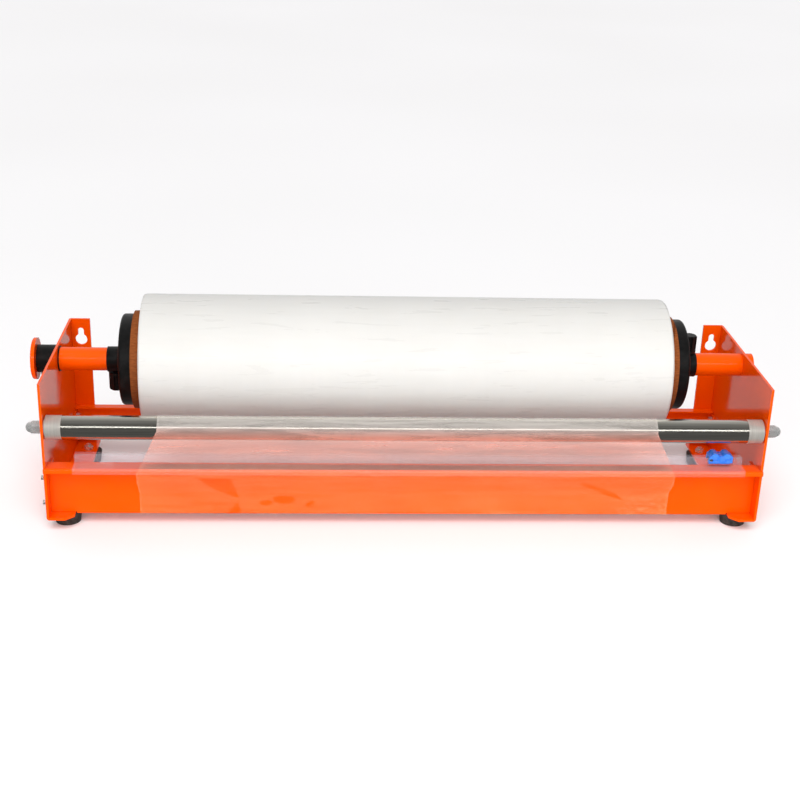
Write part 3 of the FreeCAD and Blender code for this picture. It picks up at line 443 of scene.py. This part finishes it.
def add_mesh(name, points, faces, slot, body):
    """A smooth mesh in its slot's material, riding a body of the frame."""
    mesh = bpy.data.meshes.new(name)
    mesh.from_pydata(points, [], faces)
    mesh.polygons.foreach_set("use_smooth", [True] * len(mesh.polygons))
    mesh.materials.append(MATERIALS[slot])
    mesh.update()
    piece = bpy.data.objects.new(name, mesh)
    bpy.context.scene.collection.objects.link(piece)
    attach(piece, body)
    return piece


# ---------------------------------------------------------------- the wound roll


def roll_profile(half, inner, outer):
    """(x, radius, face) stations from one end's bore, over the outside, to the other's."""
    depth = outer - inner
    left = [(-half, inner + depth * i / ROLL_FACE_RINGS, -1) for i in range(ROLL_FACE_RINGS)]
    along = [(-half + 2 * half * i / ROLL_STATIONS, outer, 0) for i in range(ROLL_STATIONS + 1)]
    right = [(-x, radius, 1) for x, radius, _ in reversed(left)]
    return left + along + right


def roll_point(x, radius, face, angle, half):
    """A point of the roll, with its hoops, slack turns and stepped ends."""
    across, up = math.cos(angle), math.sin(angle)
    if face:
        layer = wave(radius * 1900, face * 7.0, 3.0)
        drift = wave(across * 1.6, up * 1.6, radius * 140 + face)
        x -= face * LAYER_STEP * (0.5 + 0.35 * layer + 0.4 * drift)
    else:
        hoop = wave(x * 95, 11.0) + 0.5 * wave(x * 260, 5.0)
        slack = wave(x * 13, across * 9, up * 9)
        rim = between(half - abs(x), 0.0, RIM_WIDTH)
        radius -= HOOP_DEPTH * (0.5 + 0.5 * hoop) + SLACK_DEPTH * (0.5 + 0.5 * slack)
        radius -= RIM_DROP * (1 - rim) ** 2
        ragged = wave(across * 5, up * 5, math.copysign(4.0, x))
        x -= math.copysign(LAYER_STEP * (0.5 + 0.6 * ragged) * (1 - rim), x)
    return x, radius * across, radius * up


def film_roll():
    """The wound film: its outside, its two stepped ends and the bore on the core."""
    low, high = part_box("film_winding")
    middle, half = (low + high) / 2, (high.x - low.x) / 2
    outer = (high.y - low.y) / 2
    core_low, core_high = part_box("paper_core")
    inner = (core_high.z - core_low.z) / 2
    profile = roll_profile(half, inner, outer)
    points = []
    for x, radius, face in profile:
        for i in range(ROLL_SEGMENTS):
            angle = 2 * math.pi * i / ROLL_SEGMENTS
            spot = roll_point(x, radius, face, angle, half)
            points.append(Vector(spot) + middle)
    faces = grid_faces(len(profile), ROLL_SEGMENTS, closed=True)
    last = (len(profile) - 1) * ROLL_SEGMENTS
    for i in range(ROLL_SEGMENTS):
        beside = (i + 1) % ROLL_SEGMENTS
        faces.append((last + i, last + beside, beside, i))
    faces = [tuple(reversed(face)) for face in faces]
    piece = add_mesh("wound_film", points, faces, "film_roll_white", "film_roll")
    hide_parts("film_winding")


# ---------------------------------------------------------------- the film drawn off


def tangent_angle(centre, radius, point, side):
    """Angle round the centre at which a line from the point touches the circle."""
    line = point - centre
    return math.atan2(line.y, line.x) + side * math.acos(radius / line.length)


def run(start, end):
    """Points from start to just short of end, a row's pitch apart."""
    count = max(2, round((end - start).length / FILM_ROW_PITCH))
    return [start.lerp(end, i / count) for i in range(count)]


def film_line():
    """The film's side view as (point, zone) rows in the Y-Z plane.
    Zones: feed, roller, drop and tail."""
    feed_low, feed_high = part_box("film_feed_span")
    drop_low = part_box("film_drop_span")[0]
    tail_low, tail_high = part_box("film_tail")
    tube_low, tube_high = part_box("guide_roller_tube")
    middle = (tube_low + tube_high) / 2
    centre = Vector((middle.y, middle.z))
    radius = (tube_high.z - tube_low.z) / 2 + FILM_STANDOFF
    start = Vector((feed_high.y, feed_low.z))
    edge = Vector((drop_low.y, drop_low.z))
    meet = tangent_angle(centre, radius, start, 1)
    leave = tangent_angle(centre, radius, edge, -1) % (2 * math.pi)

    def on_roller(angle):
        return centre + radius * Vector((math.cos(angle), math.sin(angle)))

    line = [(point, "feed") for point in run(start, on_roller(meet))]
    turns = round(radius * (leave - meet) / FILM_ROW_PITCH)
    for i in range(turns):
        line.append((on_roller(meet + (leave - meet) * i / turns), "roller"))
    line += [(point, "drop") for point in run(on_roller(leave), edge)]
    drop_to = tail_low.z
    back = tail_high.y - FILM_STANDOFF
    count = round((edge.y - drop_to) / FILM_ROW_PITCH)
    for i in range(count + 1):
        height = edge.y + (drop_to - edge.y) * i / count
        inward = between(edge.y - height, TAIL_LEG, TAIL_TOUCH)
        line.append((Vector((edge.x + (back - edge.x) * inward, height)), "tail"))
    return line


def outward(line, row):
    """The film's outer side at a row: ahead of the roller, above the feed."""
    before = line[max(row - 1, 0)][0]
    after = line[min(row + 1, len(line) - 1)][0]
    along = (after - before).normalized()
    return Vector((along.y, -along.x))


def half_width(line, row, stops):
    """The film's half width at a row, eased between the CAD spans' widths."""
    share = row / (len(line) - 1)
    for (at, width), (then, next_width) in zip(stops, stops[1:]):
        if share <= then:
            return width + (next_width - width) * (share - at) / (then - at)
    return stops[-1][1]


# Creases where the tail clings to the panel: corners across and up, in mm, in turning order.
CLING_CREASES = (
    ((-174.0, 50.5), (-165.0, 39.7), (-155.0, 31.4), (-141.3, 24.9), (-144.5, 40.0), (-147.0, 50.5)),
    ((-141.3, 23.0), (-152.1, 10.2), (-140.3, 10.2)),
)
# Round patches of the same kind: place across and up, half sizes, all in mm, and lean.
CLING_SPOTS = (
    (-118.5, 21.2, 5.8, 2.6, 0.0),
    (-102.7, 24.2, 10.1, 3.8, 0.03),
    (-81.7, 20.3, 4.6, 2.2, 0.60),
    (165.0, 36.0, 22.0, 3.0, -0.50),
)


def depth_inside(corners, x, z):
    """Distance in mm from a point to the nearest edge of a crease, negative outside."""
    nearest = math.inf
    for (x0, z0), (x1, z1) in zip(corners, corners[1:] + corners[:1]):
        side = (x1 - x0) * (z - z0) - (z1 - z0) * (x - x0)
        nearest = min(nearest, side / math.hypot(x1 - x0, z1 - z0))
    return nearest


def cling(x, z):
    """1 where the film lies flat on the panel, 0 where it stands off."""
    ragged = wave(x * 90, z * 90, 2.0)
    x, z = x / MM, z / MM
    most = 0.0
    for corners in CLING_CREASES:
        most = max(most, between(depth_inside(corners, x, z) + 0.7 * ragged, -0.5, 0.7))
    for across, up, half, tall, lean in CLING_SPOTS:
        dx, dz = x - across, z - up
        turned = dx * math.cos(lean) + dz * math.sin(lean)
        raised = dz * math.cos(lean) - dx * math.sin(lean)
        reach = math.hypot(turned / half, raised / tall) + 0.30 * ragged
        most = max(most, 1 - between(reach, 0.88, 1.10))
    return most


def film_lift(zone, x, height, row, span):
    """How far a point stands off the flat path, and how hazy it looks there.
    The span runs from 0 to 1 along the zone."""
    ridges = wave(x * 70, row * 0.02, 1.0) + 0.6 * wave(x * 170 + row * 0.02, row * 0.04, 6.0)
    depth, haze = FILM_WAVES[zone], FILM_HAZES[zone]
    if zone == "feed":
        return depth * ridges, haze + 0.04 * ridges
    if zone == "roller":
        drawn = wave(x * 9, row * 0.45, 2.0)
        return depth * (1 + drawn), haze + 0.05 * drawn
    if zone == "drop":
        belly = math.sin(math.pi * span)
        return depth * ridges * belly, haze + 0.03 * ridges - 0.22 * between(span, 0.4, 1.0)
    stuck = cling(x, height)
    pleats = wave(x * 26 + height * 40, height * 55, 8.0) + 0.5 * wave(x * 75, height * 120, 4.0)
    loose = between(span, 0.12, 0.55) * (1 - stuck)
    crumple = between(x, CRUMPLE_START, CRUMPLE_FULL) * between(CRUMPLE_TOP - height, 0, CRUMPLE_FADE)
    creases = abs(wave(x * 160 + height * 90, height * 210, 5.0))
    lift = loose * depth * (0.8 + pleats) + crumple * CRUMPLE_DEPTH * creases
    haze += 0.02 * pleats * loose + CRUMPLE_HAZE * crumple * creases
    return lift, haze * (1 - 0.92 * stuck)


def film_painted_bounce(zones, row):
    """The film's painted bounce light and shade at a row, eased over a few rows where one stretch meets
    the next.
    """
    steps = range(-PAINTED_BOUNCE_ROWS, PAINTED_BOUNCE_ROWS + 1)
    near = [FILM_PAINTED_BOUNCE[zones[min(max(row + step, 0), len(zones) - 1)]] for step in steps]
    return (*(sum(shade[channel] for shade in near) / len(near) for channel in range(3)), 1.0)


def drawn_film():
    """One sheet of film from the roll, over the roller and the lip, to its loose end."""
    line = film_line()
    zones = [zone for _, zone in line]
    rows = len(line)
    first = {zone: zones.index(zone) for zone in ("feed", "roller", "drop", "tail")}
    length_of = {zone: zones.count(zone) for zone in first}
    widths = [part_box(node)[1].x for node in ("film_feed_span", "film_roller_wrap", "film_tail")]
    stops = [
        (0.0, widths[0]),
        (first["roller"] / rows, widths[1]),
        (first["drop"] / rows, widths[1]),
        ((first["tail"] + TAIL_SPREAD * length_of["tail"]) / rows, widths[2]),
        (1.0, widths[2]),
    ]
    points, hazes, painted_bounces = [], [], []
    for row, (spot, zone) in enumerate(line):
        side = outward(line, row)
        half = half_width(line, row, stops)
        span = (row - first[zone]) / max(length_of[zone] - 1, 1)
        # This row's colour is painted bounce light and shade.
        painted_bounce = film_painted_bounce(zones, row)
        for column in range(FILM_COLUMNS):
            share = 2 * column / (FILM_COLUMNS - 1) - 1
            x = share * half
            lift, haze = film_lift(zone, x, spot.y, row, span)
            rim = 1 - between(half - abs(x), 0.0, EDGE_WIDTH)
            frayed = wave(row * 0.06, math.copysign(9.0, x), 7.0)
            x += math.copysign(EDGE_FRAY * rim * frayed, x)
            curl = rim * rim * (EDGE_CURL if zone == "tail" else 0.0)
            at = spot + side * (lift + curl)
            if zone == "tail":
                at.y += END_SWING * span ** 4 * (0.5 + 0.5 * wave(x * 24, 4.0))
            points.append((x, at.x, at.y))
            hazes.append(max(LEAST_HAZE, haze + EDGE_HAZE * rim * rim))
            painted_bounces.append(painted_bounce)
    faces = grid_faces(rows, FILM_COLUMNS)
    piece = add_mesh("drawn_film", points, faces, "film_clear", "frame")
    attribute = piece.data.attributes.new("haze", "FLOAT", "POINT")
    attribute.data.foreach_set("value", np.array(hazes, np.float32))
    # Each point's painted bounce light and shade, which the film's material takes as its colour.
    colours = piece.data.color_attributes.new("painted_bounce", "FLOAT_COLOR", "POINT")
    colours.data.foreach_set("color", np.array(painted_bounces, np.float32).ravel())
    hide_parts("film_feed_span", "film_roller_wrap", "film_drop_span", "film_tail")


# ---------------------------------------------------------------- camera, floor and light


def camera():
    """The view from the front, pitched down."""
    yaw, pitch, roll = (math.radians(a) for a in (CAMERA_YAW, CAMERA_PITCH, CAMERA_ROLL))
    ahead = Vector((math.sin(yaw) * math.cos(pitch), math.cos(yaw) * math.cos(pitch), -math.sin(pitch)))
    level = Vector((math.cos(yaw), -math.sin(yaw), 0.0))
    upright = level.cross(ahead)
    right = level * math.cos(roll) + upright * math.sin(roll)
    up = upright * math.cos(roll) - level * math.sin(roll)
    data = bpy.data.cameras.new("camera")
    data.lens = LENS
    data.sensor_width = SENSOR_WIDTH
    data.clip_start, data.clip_end = NEAR_CLIP, FAR_CLIP
    viewer = bpy.data.objects.new("camera", data)
    turned = Matrix((right, up, -ahead)).transposed().to_4x4()
    viewer.matrix_world = Matrix.Translation(CAMERA_PLACE) @ turned
    bpy.context.scene.collection.objects.link(viewer)
    bpy.context.scene.camera = viewer


def floor():
    """Pale matt bench with a slow drift of shade. Mirror reflections do not show it."""
    s = Shader("pale_bench", Specular_IOR_Level=0.1, Roughness=0.9)
    drift = s.even_noise(1.1, detail=1)
    s.feed(s.shades(drift, (0.35, (0.955, 0.945, 0.95)), (0.65, (0.975, 0.967, 0.975))), "Base Color")
    h = FLOOR_HALF_SIDE
    mesh = bpy.data.meshes.new("bench")
    mesh.from_pydata([(-h, -h, 0), (h, -h, 0), (h, h, 0), (-h, h, 0)], [], [(0, 1, 2, 3)])
    mesh.materials.append(s.material)
    bench = bpy.data.objects.new("bench", mesh)
    bench.visible_glossy = False
    bpy.context.scene.collection.objects.link(bench)


def add_light(name, kind, place, aim, energy, **settings):
    """A lamp at a place, turned to face its aim."""
    data = bpy.data.lights.new(name, kind)
    data.energy = energy
    for key, value in settings.items():
        setattr(data, key, value)
    lamp = bpy.data.objects.new(name, data)
    lamp.location = place
    lamp.rotation_mode = "QUATERNION"
    lamp.rotation_quaternion = (Vector(aim) - Vector(place)).to_track_quat("-Z", "Y")
    bpy.context.scene.collection.objects.link(lamp)
    return lamp


def studio_world():
    """Brightest low down behind the object, dimmer overhead and darkest in front."""
    world = bpy.data.worlds.new("studio")
    world.use_nodes = True
    tree = world.node_tree
    coordinates = tree.nodes.new("ShaderNodeTexCoord")
    towards = tree.nodes.new("ShaderNodeVectorMath")
    towards.operation = "DOT_PRODUCT"
    towards.inputs[1].default_value = WORLD_BRIGHT_WAY
    tree.links.new(coordinates.outputs["Generated"], towards.inputs[0])
    spread = tree.nodes.new("ShaderNodeMapRange")
    spread.inputs["From Min"].default_value = -1.0
    tree.links.new(towards.outputs["Value"], spread.inputs["Value"])
    ramp = tree.nodes.new("ShaderNodeValToRGB")
    set_ramp(ramp, [(place, (shade, shade, shade)) for place, shade in WORLD_SHADES])
    tree.links.new(spread.outputs["Result"], ramp.inputs["Fac"])
    tree.links.new(ramp.outputs["Color"], tree.nodes["Background"].inputs["Color"])
    tree.nodes["Background"].inputs["Strength"].default_value = 1.0
    bpy.context.scene.world = world


def studio():
    """Broad light from overhead, two fills in front, and a strip, the one lamp that reflections show."""
    floor()
    studio_world()
    object_middle = (0, 0, 0.08)
    unseen = (
        add_light("overhead", "SUN", (0, 0, 2), (0.12, 1.3, 0), 2.4, angle=math.radians(45)),
        add_light("front_fill", "AREA", (-0.5, -1.6, 1.1), object_middle, 4.0,
                  shape="RECTANGLE", size=1.8, size_y=0.9),
        add_light("low_fill", "AREA", (0.1, -0.75, 0.20), (0, -0.08, 0.03), 2.6,
                  shape="RECTANGLE", size=1.6, size_y=0.25),
    )
    for lamp in unseen:
        lamp.visible_glossy = False
        lamp.visible_camera = False
    add_light("strip", "AREA", (0.1, -1.5, 0.85), object_middle, 4.0,
              shape="RECTANGLE", size=2.2, size_y=0.20)
    bpy.context.scene.view_settings.view_transform = "Standard"


camera()
studio()
finish_cad_nodes()
film_roll()
drawn_film()
